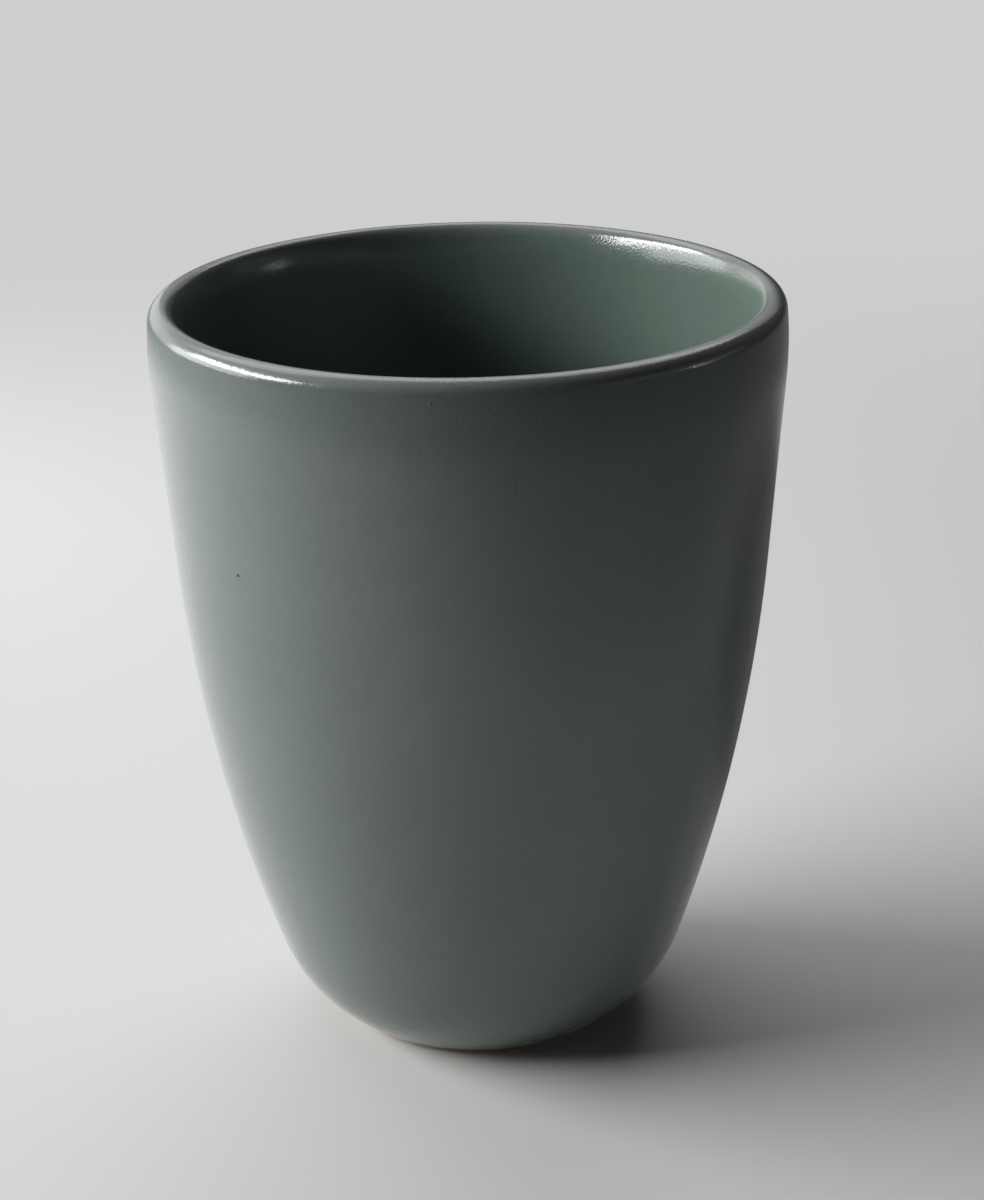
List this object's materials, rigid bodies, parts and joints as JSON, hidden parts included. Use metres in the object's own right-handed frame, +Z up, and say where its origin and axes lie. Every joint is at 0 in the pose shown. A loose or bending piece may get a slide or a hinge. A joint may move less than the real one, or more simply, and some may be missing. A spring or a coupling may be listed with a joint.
{
  "type": "handleless cup",
  "caption": "Tapered handleless ceramic tumbler with a rounded lip, satin grey-green glaze inside and out, and a bare foot ring.",
  "frame": {"origin": "on the table under the middle of the cup, at the centre of the foot ring's lower face", "axes": "+Z up along the axis the cup is turned on, out of its mouth; +X and +Y are alike, since the cup is round"},
  "size_m": [0.084, 0.084, 0.1024],
  "materials": {
    "bare_clay": "matt, fine-grained, bare fired stoneware",
    "satin_glaze": "satin grey-green glaze"
  },
  "bodies": {
    "root": {"clay_body": "bare_clay", "glaze_coat": "satin_glaze", "underside_glaze": "satin_glaze"}
  },
  "joints": []
}
